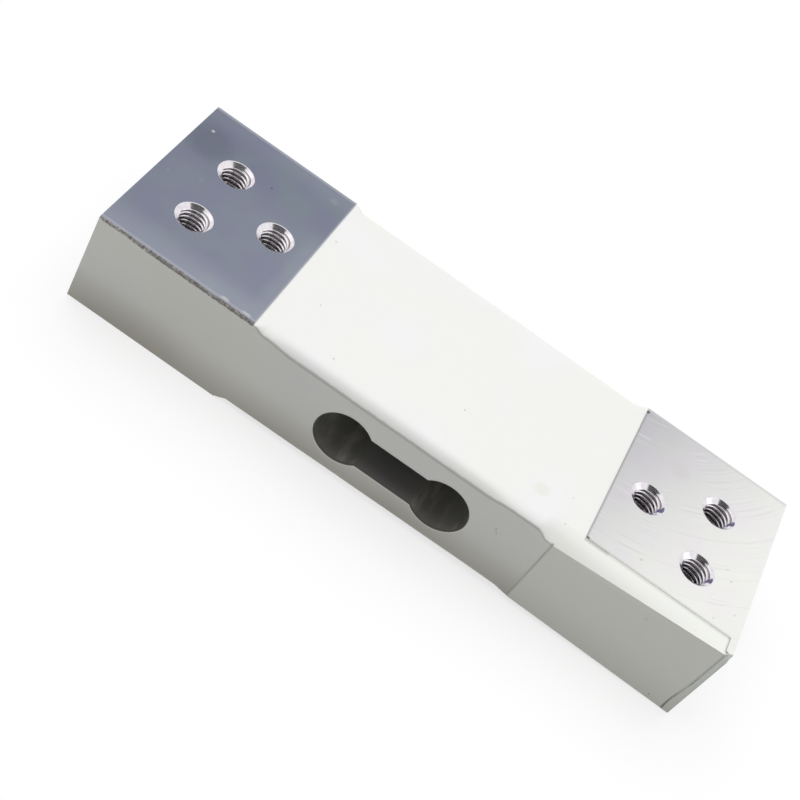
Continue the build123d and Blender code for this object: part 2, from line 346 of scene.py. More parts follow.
# %% Sizes of the coat, in mm
half_length, pad_half, outer_half, waist_half = 65.0, 20.25, 20.95, 33.4
full_height, waist_low, waist_high = 20.6, 2.0, 17.6
flat_low, flat_high = 0.2, 20.4
eye_middle, eye_radius, eye_height, slot_half = 10.15, 5.7, 9.8, 3.85
recess_start, recess_floor, recess_end = 29.4, -17.1, 63.6
slot_corner = eye_middle - math.sqrt(eye_radius**2 - slot_half**2)
NEAR = 1e-6
print("the slot meets the eyes at", round(slot_corner, 3), "mm from the middle")

# %% [markdown]
# The coat's long edges are rounded off. The rounding is small beside the pads, which the coat meets
# almost level, and grows to its full size along a short ramp. A very slight unevenness keeps the
# broad upper face from looking like a machined one.

# %% The rounded edges
ramp_length = 2.4
pad_drop, full_drop = 0.1, 1.1
pad_width, full_width = 0.2, 2.8


def smooth(share):
    """0 to 1 with level ends: 3 t^2 - 2 t^3."""
    share = np.clip(share, 0.0, 1.0)
    return share * share * (3.0 - 2.0 * share)


def edge_size(x):
    """How far the long edges drop, and how wide they are rounded. Both shrink along the ramp to a pad."""
    share = smooth((waist_half - np.abs(x)) / ramp_length)
    return pad_drop + (full_drop - pad_drop) * share, pad_width + (full_width - pad_width) * share


def rounding(x, y):
    """Drop of the flat face at (x, y): an ellipse's quarter, stopped just before it stands upright."""
    drop, width = edge_size(x)
    across = np.clip((np.abs(y) - outer_half + width) / width, 0.0, 1.0)
    reach = 0.97
    full = 1.0 - math.sqrt(1.0 - reach**2)
    return drop * (1.0 - np.sqrt(1.0 - (reach * across) ** 2)) / full


def unevenness(x, y):
    """A hand-made coat is never quite flat: three slow sine waves, 0.012 mm high each, are added up.
    They fade out within 4 mm of a pad."""
    fade = smooth((waist_half - np.abs(x)) / 4.0)
    waves = np.sin(0.19 * x + 0.4) + np.sin(0.31 * y - 0.13 * x) + np.sin(0.43 * x + 0.21 * y + 1.0)
    return 0.012 * fade * waves


print("the edges drop and are rounded by, in mm:", [round(float(v), 2) for v in edge_size(0.0)])

# %% [markdown]
# At the joint with the filling the side coat is pulled in a little, and before it the coat sags to
# the recess's near corner. It also ran off over the near side before it set: the upper edge lies
# lower there, and the lower edge higher. Each of the three is a term of the heights below.

# %% Joint, sag and run-off, and the heights of the coat
joint_depth, joint_width = 0.15, 0.2
sag_height, sag_start, sag_length = 18.1, 25.6, 2.7
upper_loss, loss_middle, loss_half, loss_fade = 0.6, -5.0, 25.0, 5.0
lower_loss, lower_loss_start, lower_loss_length, lower_loss_fade = 0.7, -29.0, 51.0, 3.4


def groove(x):
    """How far the side coat is pulled in at the joint with the filling: less with the distance from it."""
    return joint_depth * (1.0 - np.clip((recess_start - x) / joint_width, 0.0, 1.0)) * (x > 0)


def sagging(y, near_height, level):
    """Height across a sag, from level at the recess floor to near_height at the near edge. A share s
    of the way across it has come down by 0.3 s + 0.7 s^2 of the drop, so it is steepest at the edge."""
    share = np.clip((recess_floor - y) / (outer_half + recess_floor), 0.0, 1.0)
    return level + (near_height - level) * (0.3 * share + 0.7 * share * share)


def run_off(x, y, side_up):
    """What the near edge lost: one amount along the upper edge, and along the lower one more and more
    towards the recess. Across the rounding it grows with the cube of the distance."""
    across = np.clip((full_width - y - outer_half) / full_width, 0.0, 1.0)
    upper = upper_loss * smooth((loss_half - np.abs(x - loss_middle)) / loss_fade)
    towards_recess = np.clip((x - lower_loss_start) / lower_loss_length, 0.0, 1.0)
    lower = lower_loss * towards_recess * smooth((recess_start - x) / lower_loss_fade)
    return (upper if side_up else lower) * across**3


def coat_top(x, y):
    """Height of the upper face: level, less the rounding, and sagging to the recess's near corner."""
    level = flat_high - rounding(x, y) - run_off(x, y, True) + unevenness(x, y)
    share = smooth((x - sag_start) / sag_length) * (y < recess_floor)
    return level + share * (np.minimum(sagging(y, sag_height, flat_high), level) - level)


def coat_bottom(x, y):
    """Height of the lower face: level, plus the rounding and what ran off, less the unevenness."""
    return flat_low + rounding(x, y) + run_off(x, y, False) - unevenness(x, y)


heights = [round(float(height(0.0, -outer_half)), 2) for height in (coat_bottom, coat_top)]
print("the near side runs from", heights[0], "up to", heights[1], "mm in the middle")

# %% [markdown]
# The coat is one skin made of grids with shared columns: the upper and the lower face, and the two
# sides, each with a rectangular window that is filled by the rolled lip of the opening. A column
# stands at every place where something begins, so no feature falls between two columns.

# %% The columns along the beam and the rows across it
window_half, close = 17.2, 0.2


def stretch(*stops):
    """Evenly spaced values between each pair of stops: stop, count, stop, count, stop ..."""
    parts = [np.linspace(stops[i], stops[i + 2], stops[i + 1] + 1) for i in range(0, len(stops) - 2, 2)]
    return np.unique(np.round(np.concatenate(parts), 6))


columns_x = stretch(
    -half_length, 150, -waist_half, 2, -waist_half + close, 12, -30.8, 14, -window_half, 26,
    -slot_corner, 14, slot_corner, 26, window_half, 10, 25.0, 26, recess_start - close, 2,
    recess_start, 14, waist_half - close, 2, waist_half, 50, half_length)
rows_y = stretch(
    -outer_half, 5, -pad_half, 9, -18.0, 3, recess_floor, 14, -recess_floor, 3, 18.0, 9, pad_half, 5,
    outer_half)
side_share = stretch(0.0, 1, 0.008, 1, 0.02, 1, 0.04, 24, 0.96, 1, 0.98, 1, 0.992, 1, 1.0)
# The window runs from the fourth row, at a share of 0.04, to the fourth from the end, at 0.96
window_rows = (3, side_share.size - 4)
rough = np.random.default_rng(11).normal(size=columns_x.size)
rough = np.convolve(rough, [0.25, 0.5, 0.25], "same")


def rim_height(x, y, side_up):
    """Top or bottom of the side coat beside a pad: level with it, and 0.05 mm lower at the outer edge.
    On the left near edge it is torn 0.15 to 0.4 mm deep, by how rough the column is."""
    torn = np.interp(x, columns_x, np.abs(rough)) * (x < -waist_half) * (y < 0) * side_up
    across = np.clip((np.abs(y) - pad_half) / (outer_half - pad_half), 0.0, 1.0)
    depth = np.minimum(0.15 + 0.3 * torn, 0.4) * smooth(across * 2.0 - 1.0) * (torn > 0) + 0.05 * across
    return full_height - depth if side_up else depth


print("columns", columns_x.size, "rows across", rows_y.size)

# %% [markdown]
# Each face is a whole grid from which some cells are left out: the pads and the recess's corner on
# the upper and lower faces, and the window on the sides. Grids are laid out before anything is left
# out, so neighbours still share their points. Each point keeps its distance from the long edges.

# %% The skin of the coat


def beside_pad(x):
    """True along the pads, and at their inner ends."""
    return np.abs(x) >= waist_half - NEAR


def face_height(x, y, side_up):
    """Upper or lower height of the skin at (x, y), along the waist or on the rims beside the pads."""
    waist = coat_top(x, y) if side_up else coat_bottom(x, y)
    on_rim = beside_pad(x) & (np.abs(y) >= pad_half - NEAR)
    return np.where(on_rim, rim_height(x, y, side_up), waist)


def side_depth(x, side):
    """Where the side's face stands: straight, but pulled in at the joint with the filling."""
    return side * (outer_half - groove(x) * (side < 0))


def flat_patch(side_up):
    """Upper or lower face over the whole plan, without the pads and without the recess's corner."""
    x, y = np.meshgrid(columns_x, rows_y, indexing="ij")
    z = face_height(x, y, side_up)
    y = np.where(np.abs(y) > outer_half - NEAR, side_depth(x, np.sign(y)), y)
    points = np.stack([x, y, z], axis=-1).reshape(-1, 3)
    triangles = grid_triangles(*x.shape, turned=side_up)
    middle_x = (columns_x[:-1] + columns_x[1:])[:, None] / 2
    middle_y = (rows_y[:-1] + rows_y[1:])[None, :] / 2
    pad = (np.abs(middle_x) > waist_half) & (np.abs(middle_y) < pad_half)
    corner = (middle_x > recess_start) & (middle_y < recess_floor)
    keep = np.repeat(~(pad | corner).reshape(-1), 2)
    edge = outer_half - np.abs(y.reshape(-1))
    return points, triangles[keep], edge


def side_lines(side):
    """Columns of one side and its upper and lower edge there. The near side stops at the recess."""
    x = columns_x if side > 0 else columns_x[columns_x <= recess_start + NEAR]
    y = np.full(x.shape, side * outer_half)
    return x, face_height(x, y, True), face_height(x, y, False)


def side_patch(side):
    """One side: rows at set shares of the way from the upper to the lower edge, without the window."""
    x, high, low = side_lines(side)
    z = high[:, None] + (low - high)[:, None] * side_share[None, :]
    x2 = np.repeat(x[:, None], side_share.size, axis=1)
    points = np.stack([x2, side_depth(x2, side), z], axis=-1).reshape(-1, 3)
    triangles = grid_triangles(*x2.shape, turned=side > 0)
    middle = (x[:-1] + x[1:]) / 2
    row = np.arange(side_share.size - 1)
    open_row = (row >= window_rows[0]) & (row < window_rows[1])
    window = (np.abs(middle) < window_half)[:, None] & open_row[None, :]
    edge = np.minimum(high[:, None] - z, z - low[:, None])
    return points, triangles[np.repeat(~window.reshape(-1), 2)], edge.reshape(-1)


patches = [flat_patch(True), flat_patch(False), side_patch(-1), side_patch(1)]
print("patches", [len(p[1]) for p in patches])

# %% [markdown]
# The opening's lip is a small quarter round carried along the opening's outline. Each point of the
# window's border looks at the outline: straight up or down over the slot and the eyes' inner halves,
# and towards the eye's centre beyond them.

# %% The rolled lip of the opening
LIP, LIP_BORDER = 0.2, 0.02
quarter_turn = np.radians(np.linspace(0.0, 90.0, 6))


def outline(x, z, away):
    """The point of the opening's outline, moved away from it by away, that (x, z) looks at."""
    eye, slot = eye_radius + away, slot_half + away
    corner = eye_middle - math.sqrt(eye**2 - slot**2)
    size = np.abs(x)
    bent = np.where(
        size <= slot_corner,
        size * corner / slot_corner,
        corner + (size - slot_corner) * (eye_middle - corner) / (eye_middle - slot_corner))
    rise = np.where(size <= slot_corner, slot, np.sqrt(np.maximum(eye**2 - (bent - eye_middle) ** 2, 0.0)))
    upright_x, upright_z = bent, rise * np.sign(z - eye_height)
    far = np.hypot(size - eye_middle, z - eye_height)
    ray_x = eye_middle + (size - eye_middle) * eye / far
    ray_z = (z - eye_height) * eye / far
    outer = size > eye_middle
    return np.sign(x) * np.where(outer, ray_x, upright_x), eye_height + np.where(outer, ray_z, upright_z)


def lip_patch(side):
    """The lip: from the window's border over the flat side, round the quarter and in to the metal."""
    x, high, low = side_lines(side)
    inside = np.abs(x) <= window_half + NEAR
    x, high, low = x[inside], high[inside], low[inside]
    top, bottom = (high + (low - high) * side_share[r] for r in window_rows)
    rows = side_share[window_rows[0] + 1:window_rows[1]]
    border_x = np.concatenate([x, np.full(rows.size, x[-1]), x[::-1], np.full(rows.size, x[0])])
    border_z = np.concatenate([
        top, high[-1] + (low[-1] - high[-1]) * rows, bottom[::-1],
        (high[0] + (low[0] - high[0]) * rows)[::-1]])
    border_x, border_z = np.append(border_x, border_x[0]), np.append(border_z, border_z[0])
    rings = [(border_x, np.full(border_x.shape, outer_half), border_z)]
    wide_x, wide_z = outline(border_x, border_z, LIP + LIP_BORDER)
    rings.append(((border_x + wide_x) / 2, rings[0][1], (border_z + wide_z) / 2))
    rings.append((wide_x, rings[0][1], wide_z))
    for turn in quarter_turn:
        ring_x, ring_z = outline(border_x, border_z, LIP * (1.0 - math.sin(turn)))
        depth = outer_half - LIP * (1.0 - math.cos(turn))
        rings.append((ring_x, np.full(border_x.shape, depth), ring_z))
    rings.append((rings[-1][0], np.full(border_x.shape, pad_half), rings[-1][2]))
    points = np.stack([np.stack([r[0], side * r[1], r[2]], axis=-1) for r in rings]).reshape(-1, 3)
    triangles = grid_triangles(len(rings), border_x.size, turned=side < 0)
    return points, triangles, np.full(len(points), 3.0)


patches += [lip_patch(-1), lip_patch(1)]
print("triangles of each lip", len(patches[-1][1]))

# %% [markdown]
# Every point of the skin has a seat: the nearest place on the metal below it. Copying the skin onto
# its seat, turned inside out, and closing the open edges between the two gives a solid coat.

# %% Closing the coat


def seat(points):
    """The place on the metal below each point of the skin."""
    x, y, z = points.T
    pad = np.abs(x) > waist_half + NEAR
    low, high = np.where(pad, 0.0, waist_low), np.where(pad, full_height, waist_high)
    beside = np.abs(y) >= pad_half - NEAR
    seat_z = np.where(beside, np.clip(z, low, high), np.where(z > eye_height, high, low))
    return np.stack([x, np.clip(y, -pad_half, pad_half), seat_z], axis=-1)


def thicken(points, triangles, seats, *measures):
    """Closes a skin: the skin, its seats turned inside out, and strips along the open edges."""
    rim = open_edges(triangles)
    size = len(points)
    strips = np.concatenate([
        np.stack([rim[:, 1], rim[:, 0], rim[:, 0] + size], axis=-1),
        np.stack([rim[:, 1], rim[:, 0] + size, rim[:, 1] + size], axis=-1)])
    everything = np.concatenate([triangles, triangles[:, ::-1] + size, strips])
    return weld(np.concatenate([points, seats]), everything, *(np.tile(m, 2) for m in measures))


def join(patches):
    """Stacks patches and welds them where they share points."""
    starts = np.cumsum([0] + [len(p[0]) for p in patches[:-1]])
    points = np.concatenate([p[0] for p in patches])
    triangles = np.concatenate([p[1] + start for p, start in zip(patches, starts)])
    return weld(points, triangles, np.concatenate([p[2] for p in patches]))


skin, skin_triangles, skin_edge = join(patches)
print("skin points", len(skin), "open edges", len(open_edges(skin_triangles)))
coat_points, coat_triangles, coat_edge = thicken(skin, skin_triangles, seat(skin), skin_edge)
near_edge = np.clip(1.0 - coat_edge, 0.0, 1.0)
jacket = make_piece("white_jacket", coat_points, coat_triangles, "white_coat", near_edge=near_edge)
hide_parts("jacket")

# %% [markdown]
# ## The recess filling
#
# The wiring recess is cast full of the same white compound. It is highest at the recess floor and
# sags to the near side, most of all where the side coat ends. One profile does it: across the top,
# down the side and back under the bottom, carried along the recess while its heights change.

# %% The recess filling
end_line_height = np.array([0.0, 1.0, 3.0, 6.0, 10.0, full_height])
end_line_x = np.array([63.5, 63.45, 63.3, 63.55, 63.85, 63.85])
end_high = 20.3
start_low, end_low = 1.1, 0.15
corner_blend = 0.3
across = np.array([0.0, 0.12, 0.3, 0.5, 0.7, 0.85, 0.94, 1.0])
down = np.array([0.0, 0.008, 0.02, 0.06, 0.2, 0.4, 0.6, 0.8, 0.94, 0.98, 0.992, 1.0])


def end_line(z):
    """Where the filling ends on the near side: a line through measured places, straight between."""
    return np.interp(z, end_line_height, end_line_x)


def filling_profile(x, share):
    """Each row is one profile, from the recess floor's top edge round to its bottom edge. The near
    side's two heights change evenly with the share of the way along the recess, and the top and the
    bottom come to them: the top by the sag, and the bottom in a straight line. Near the joint the side
    is pulled in as the side coat is, which is the same groove mirrored about the joint."""
    near_high = sag_height + (end_high - sag_height) * share
    near_low = start_low + (end_low - start_low) * share
    top_y = recess_floor + (-outer_half - recess_floor) * across
    side_z = near_high + (near_low - near_high) * down
    low_z = flat_low + (near_low - flat_low) * across[::-1]
    y = np.concatenate([top_y, np.full(down.size - 2, -outer_half), top_y[::-1]])
    z = np.concatenate([sagging(top_y, near_high, flat_high), side_z[:, 1:-1], low_z], axis=1)
    return np.maximum(y, -outer_half + groove(2 * recess_start - x)), z


share = stretch(0.0, 2, 0.006, 6, 0.06, 40, 0.94, 10, 1.0)[:, None]
y, z = filling_profile(recess_start + (recess_end - recess_start) * share, share)
on_side = smooth((-y - pad_half) / corner_blend)
end_x = recess_end + (end_line(z) - recess_end) * on_side
x = recess_start + (end_x - recess_start) * share
filling_skin, to_end = np.stack([x, y, z], axis=-1).reshape(-1, 3), (end_x - x).reshape(-1)
points, triangles, rest = weld(filling_skin, grid_triangles(*x.shape), to_end)
seats = points.copy()
seats[:, 1] = np.maximum(points[:, 1], np.where(points[:, 0] > recess_end + NEAR, -pad_half, recess_floor))
filling_points, filling_triangles, rest = thicken(points, triangles, seats, rest)
near_end = np.clip(1.0 - rest, 0.0, 1.0)
filling = make_piece("white_recess_filling", filling_points, filling_triangles, "white_filling",
                     near_end=near_end)
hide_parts("recess_filling")

# %% [markdown]
# ## The strip of coat on the end wall
#
# Between the filling and the end face a narrow strip of the side coat is left. Its profile is a thin
# slab with softened outer corners, carried up the end wall while its left edge follows the line
# where the filling ends. At the top its outer corner is knocked off. Every corner of the profile is
# a function of the height, so the strip is one grid, closed by a fan of triangles at each end.

# %% The strip on the end wall
soft, joint_gap = 0.1, 0.06
knock_start, knock_height, knock_back, knock_in = 19.3, 1.2, 0.8, 0.35
z = stretch(0.0, 1, soft, 24, full_height - soft, 1, full_height)
knocked = smooth((z - knock_start) / knock_height)
inset = np.where((z > 0.0) & (z < full_height), soft, 2 * soft)
left, right = end_line(z) + joint_gap, half_length - knock_back * knocked
front = -outer_half + inset + knock_in * knocked
wall, end_face = np.full_like(z, -pad_half), np.full_like(z, half_length)
x = np.stack([left, left, left + soft, left + 3 * soft, right - soft, right, end_face, left], axis=-1)
y = np.stack([wall, front, front - soft, front - soft, front - soft, front, wall, wall], axis=-1)
strip_grid = np.stack([x, y, np.repeat(z[:, None], x.shape[1], axis=1)], axis=-1)
rows, columns = x.shape
body = grid_triangles(rows, columns)
ahead = np.arange(1, columns - 2)
fan = np.stack([np.zeros_like(ahead), ahead, ahead + 1], axis=-1)
caps = np.concatenate([fan[:, ::-1], fan + (rows - 1) * columns])
points, triangles = weld(strip_grid.reshape(-1, 3), np.concatenate([body, caps]))
strip = make_piece("white_end_strip", points, triangles, "white_coat")
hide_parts("end_coat")

# %% [markdown]
# ## Screw threads
#
# The six holes are tapped right through. A thread is a ridge that climbs one pitch for each turn, so
# its surface is a function of the angle and the height: the radius depends only on the height less
# the climb. A shallow cone at each mouth cuts the ridges away, which leaves the half turns that catch
# the light. Every point also keeps how deep it lies between two ridges, where its finish paints a shade.

# %% The thread's surface
PITCH, MAJOR, MINOR, MOUTH = 1.0, 3.0, 2.46, 3.6
CONE_SLOPE, FLANK = 1.5, 0.42
# The thread lines the hole as a sleeve, which stands this far inside the hole's wall
SKIN = 0.012
hole_places = {
    f"{end}_{place}": (sign * x, y)
    for end, sign in (("left", -1), ("right", 1))
    for place, x, y in (("near", 53.5, -7.8), ("far", 53.5, 7.8), ("inner", 40.5, 0.0))}
turns = np.linspace(0.0, 2.0 * np.pi, 65)
climb = np.arange(0.0, full_height + NEAR, 0.1)


def ridge(phase):
    """Share of the ridge's height for a phase of 0 to 1: a rounded root at both ends, two flanks, each
    FLANK of the pitch wide, and a flat crest in the middle."""
    return smooth(np.minimum(phase, 1.0 - phase) / FLANK)


def thread_grid():
    """Radius at each height and angle: the hole's radius less the ridge, but at least the cone's.
    The cone's radius is the mouth's, less CONE_SLOPE times the depth below the nearer face."""
    height, angle = np.meshgrid(climb, turns, indexing="ij")
    phase = np.mod(height / PITCH - angle / (2.0 * np.pi), 1.0)
    radius = MAJOR - (MAJOR - MINOR) * ridge(phase)
    cone = MOUTH - CONE_SLOPE * np.minimum(height, full_height - height)
    return height, angle, np.maximum(radius, cone) - SKIN, (1.0 - ridge(phase)) * (radius > cone)


height, angle, radius, root = thread_grid()
wall = np.maximum(MAJOR, MOUTH - np.minimum(climb, full_height - climb)) + SKIN / 3
root = np.concatenate([root, np.zeros_like(root), root[:1]]).reshape(-1)
for name, (x, y) in hole_places.items():
    inner = np.stack([x + radius * np.cos(angle), y + radius * np.sin(angle), height], axis=-1)
    outer = np.stack([x + wall[:, None] * np.cos(angle), y + wall[:, None] * np.sin(angle), height], axis=-1)
    sleeve = np.concatenate([inner, outer[::-1], inner[:1]])
    cells = grid_triangles(*sleeve.shape[:2], turned=True)
    points, triangles, depth = weld(sleeve.reshape(-1, 3), cells, root)
    make_piece("thread_" + name, points, triangles, "milled_aluminium", sharp=60.0, root=depth)

# %% [markdown]
# ## Effects that several finishes share
#
# Mottling, fine arcs left by a cutter, a small mark at one place and a thin line along an edge come
# up again and again. Each is a node group, built once. A group gives out only masks and heights,
# and the shader itself stays in the finish.

# %% Shared effects
NUMBER, ARROW = "NodeSocketFloat", "NodeSocketVector"


def new_group(name, inputs, output):
    """A node group that reads a Vector and the named inputs. Returns it, its tree, inputs and end."""
    group = bpy.data.node_groups.new(name, "ShaderNodeTree")
    for socket, (kind, value) in {"Vector": (ARROW, None), **inputs}.items():
        made = group.interface.new_socket(name=socket, in_out="INPUT", socket_type=kind)
        if value is not None:
            made.default_value = value
    group.interface.new_socket(name=output, in_out="OUTPUT", socket_type=NUMBER)
    tree = Tree(group)
    start, end = tree.add("NodeGroupInput"), tree.add("NodeGroupOutput")
    return group, tree, start.outputs, end.inputs[output]


mottle_group, tree, given, result = new_group("mottle", {"Size": (NUMBER, 4.0)}, "Value")
scale = tree.math("DIVIDE", 1.0, given["Size"])
coarse = tree.noise(given["Vector"], scale, 3.0, 0.55)
fine = tree.noise(given["Vector"], tree.math("MULTIPLY", scale, 6.0), 2.0, 0.6)
tree.fill(result, tree.math("MULTIPLY_ADD", coarse, 0.7, tree.math("MULTIPLY", fine, 0.3)))

cloud_group, tree, given, result = new_group("soft_clouds", {"Size": (NUMBER, 12.0)}, "Value")
soft_noise = tree.noise(given["Vector"], tree.math("DIVIDE", 1.0, given["Size"]), 1.0, 0.3)
tree.fill(result, tree.step(soft_noise, 0.3, 0.7))

line_group, tree, given, result = new_group(
    "thin_line", {"Distance": (NUMBER, 0.0), "Width": (NUMBER, 0.2)}, "Mask")
waver = tree.math("ADD", tree.noise(given["Vector"], 0.9, 3.0), 0.5)
share = tree.math("DIVIDE", given["Distance"], tree.math("MULTIPLY", given["Width"], waver))
tree.fill(result, tree.step(share, 1.25, 0.55))

mark_group, tree, given, result = new_group(
    "small_mark", {"Place": (ARROW, None), "Stretch": (ARROW, (1.0, 1.0, 1.0)), "Radius": (NUMBER, 0.3)},
    "Mask")
offset = tree.vector("SUBTRACT", given["Vector"], given["Place"])
length = tree.vector("LENGTH", tree.vector("MULTIPLY", offset, given["Stretch"]))
ragged = tree.math("MULTIPLY", tree.noise(given["Vector"], 2.3, 2.0), 0.8)
reach = tree.math("ADD", tree.math("DIVIDE", length, given["Radius"]), ragged)
tree.fill(result, tree.step(reach, 1.6, 0.9))
print("shared effects:", [g.name for g in bpy.data.node_groups])

# %% [markdown]
# A face mill turns about an upright axis while the part passes under it, so each of its teeth draws
# an arc. All arcs share a centre far outside the face. Noise in one dimension, read at the distance
# from that centre, gives uneven rings, and a second noise lets them come and go.

# %% The arcs of a face mill
ring_start = (13.0, 17.0)
arcs_group, tree, given, result = new_group(
    "cutter_arcs", {"Centre": (ARROW, None), "Spacing": (NUMBER, 0.4), "Evenness": (NUMBER, 0.0)}, "Value")
away = tree.vector("DISTANCE", given["Vector"], given["Centre"])
rings = tree.math("DIVIDE", away, given["Spacing"])
lines = tree.add("ShaderNodeTexNoise", {"W": rings, "Scale": 1.0, "Detail": 4.0, "Roughness": 0.7},
                 noise_dimensions="1D")
patchy = tree.step(tree.noise(given["Vector"], 0.16, 2.0), 0.42, 0.66)
shown = tree.math("MAXIMUM", patchy, given["Evenness"])
uneven = tree.math("SUBTRACT", lines.outputs[0], 0.5)
tree.fill(result, tree.product(uneven, shown, tree.step(away, *ring_start)))
print("the arcs fade in", ring_start, "mm from their centre")

# %% [markdown]
# ## Finishes
#
# A finish starts from the cell's own coordinates in millimetres, so that every pattern has its true
# size and stays where it is on the metal. Shades are painted over each other, each through a mask.
# Each tree ends in one Principled shader.

# %% A helper for finishes


class Finish(Tree):
    """A material whose nodes read the piece's own coordinates in mm, as .place, .x, .y and .z."""

    def __init__(self, name):
        self.material = bpy.data.materials.new(name)
        self.material.use_nodes = True
        super().__init__(self.material.node_tree)
        own = self.add("ShaderNodeTexCoord").outputs["Object"]
        self.place = self.vector("MULTIPLY", own, (1.0 / MM, 1.0 / MM, 1.0 / MM))
        self.x, self.y, self.z = self.add("ShaderNodeSeparateXYZ", {0: self.place}).outputs

    def group(self, group, **sockets):
        """What a shared effect gives at this place."""
        made = self.add("ShaderNodeGroup", {"Vector": self.place, **sockets}, node_tree=group)
        return made.outputs[0]

    def grain(self, size):
        """Mottling whose larger patches are about size mm wide."""
        return self.group(mottle_group, Size=size)

    def mottled(self, size, dark, light):
        """Two shades that follow that mottling."""
        return self.mix(self.step(self.grain(size), 0.3, 0.7), dark, light)

    def measure(self, name):
        """The value that each point of the piece keeps under this name."""
        return self.add("ShaderNodeAttribute", attribute_name=name).outputs["Fac"]

    def box(self, low, high, soft=0.05):
        """1 inside the box from low to high, in mm. None leaves a side open."""
        sides = []
        for value, least, most in zip((self.x, self.y, self.z), low, high):
            if least is not None:
                sides.append(self.step(value, least - soft, least + soft))
            if most is not None:
                sides.append(self.step(value, most + soft, most - soft))
        return self.product(*sides)

    def paint(self, colour, shade, *masks):
        """The colour with a shade over it where all masks are 1. A number among them thins the shade."""
        return self.mix(self.product(*masks), colour, shade)

    def spots(self, colour, shade, strength, marks, stretch=(1.0, 1.0, 1.0)):
        """The colour with small ragged marks of one shade, each given as x, y, z and radius."""
        for *place, radius in marks:
            mark = self.group(mark_group, Place=place, Radius=radius, Stretch=stretch)
            colour = self.paint(colour, shade, mark, strength)
        return colour

    def bump(self, height, strength, distance):
        """Normals for a relief of that many mm."""
        sockets = {"Height": height, "Strength": strength, "Distance": distance * MM}
        return self.add("ShaderNodeBump", sockets).outputs[0]

    def shade(self, **sockets):
        """Ends the tree in one shader and returns the material."""
        shader = self.add("ShaderNodeBsdfPrincipled", {k.replace("_", " "): v for k, v in sockets.items()})
        self.add("ShaderNodeOutputMaterial", {"Surface": shader.outputs[0]})
        print(self.material.name, "has", len(self.tree.nodes), "nodes")
        return self.material


def grey(*levels):
    """A colour from its values as seen on a screen, 0 to 255, brought to linear light."""
    levels = levels * 3 if len(levels) == 1 else levels
    linear = [(v / 255 / 12.92) if v <= 10 else ((v / 255 + 0.055) / 1.055) ** 2.4 for v in levels]
    return (*linear, 1.0)


def at_height(z, *marks):
    """Marks for spots, each given as x, y and radius, that lie at one height."""
    return [(x, y, z, radius) for x, y, radius in marks]


print("white coat, linear:", [round(v, 3) for v in grey(240, 241, 237)])

# %% [markdown]
# ### White compound
#
# Coat, filling and end strip are one satin two-part compound: nearly white, with faint warm and cool
# clouds. The sides are darker towards the bottom, in patches and in a painted shade, and a painted
# light whitens the sag over the recess. Functions hold what these pieces share, and each piece then
# gets its own lines and marks.

# %% What the white pieces share


def white_compound(finish, warm, cool, patch_share, low):
    """Clouds of two whites, darker on the sides: in patches that grow towards the bottom, by the first
    share, and in a painted shade near the bottom, by low. A painted light whitens the sag over the
    wiring recess. Returns the colour and the clouds."""
    clouds = finish.group(cloud_group, Size=14.0)
    colour = finish.mix(clouds, warm, cool)
    side = finish.step(finish.math("ABSOLUTE", finish.y), outer_half - 0.12, outer_half - 0.04)
    patches = finish.math("ADD", finish.group(cloud_group, Size=25.0), 0.3)
    patches = finish.product(patches, finish.step(finish.z, 17.0, -4.0))
    # painted shade: the sides darken towards their bottom edge
    painted_bottom_shade = finish.product(finish.step(finish.z, 10.0, 0.5), low)
    patches_and_painted_shade = finish.math("MULTIPLY_ADD", patches, patch_share, painted_bottom_shade)
    colour = finish.paint(colour, grey(193, 190, 180), side, patches_and_painted_shade)
    on_sag = finish.product(finish.step(finish.y, -17.3, -18.8), finish.step(finish.x, 25.0, 28.5),
                            finish.step(finish.x, 56.0, 38.0))
    # painted light: the sloping sag over the recess is painted whiter
    painted_sag_light = finish.product(finish.step(finish.z, 17.6, 18.2), on_sag)
    return finish.paint(colour, grey(250, 250, 246), painted_sag_light, 0.5), clouds


def joint_shade_line(finish, colour):
    """A thin painted shade line down the near side, in the groove where the side coat and the filling meet.
    """
    beside = finish.step(finish.apart(finish.x, recess_start), 0.34, 0.1)
    return finish.paint(colour, grey(120, 118, 112), beside, finish.step(finish.y, -20.6, -20.75), 0.3)


def satin(finish, colour, clouds, grain_size=2.5, relief=0.05):
    """Ends a white finish: satin, a little duller in the clouds, with a faint uneven grain."""
    return finish.shade(Base_Color=colour, Roughness=finish.between(clouds, 0.3, 0.4),
                        Normal=finish.bump(finish.grain(grain_size), relief, 0.05))


print("the joint with the filling is", recess_start, "mm from the middle")

# %% [markdown]
# ### White coat
#
# The coat has a thin painted shade line along its upper edges, and a few specks on top. Its rolled
# lip round the opening carries a painted highlight where the side bends in, weaker on the lower half,
# and then a painted shade going into the opening: on the lower half nearly up to the side.

# %% White coat: edges, specks and lip
coat = Finish("white_coat")
colour, clouds = white_compound(coat, grey(240, 240, 236), grey(240, 241, 240), 0.35, 0.6)
from_middle, off_side = coat.math("ABSOLUTE", coat.x), coat.math("ABSOLUTE", coat.y)
from_edge = coat.math("SUBTRACT", 1.0, coat.measure("near_edge"))
# painted shade: a thin darker line along the upper long edges
painted_edge_shade = coat.group(line_group, Distance=from_edge, Width=0.2)
along_waist = coat.step(from_middle, waist_half + 0.5, waist_half - 1.0)
colour = coat.paint(colour, grey(130, 128, 116), painted_edge_shade, along_waist, coat.step(coat.z, 9.0, 11.0), 0.45)
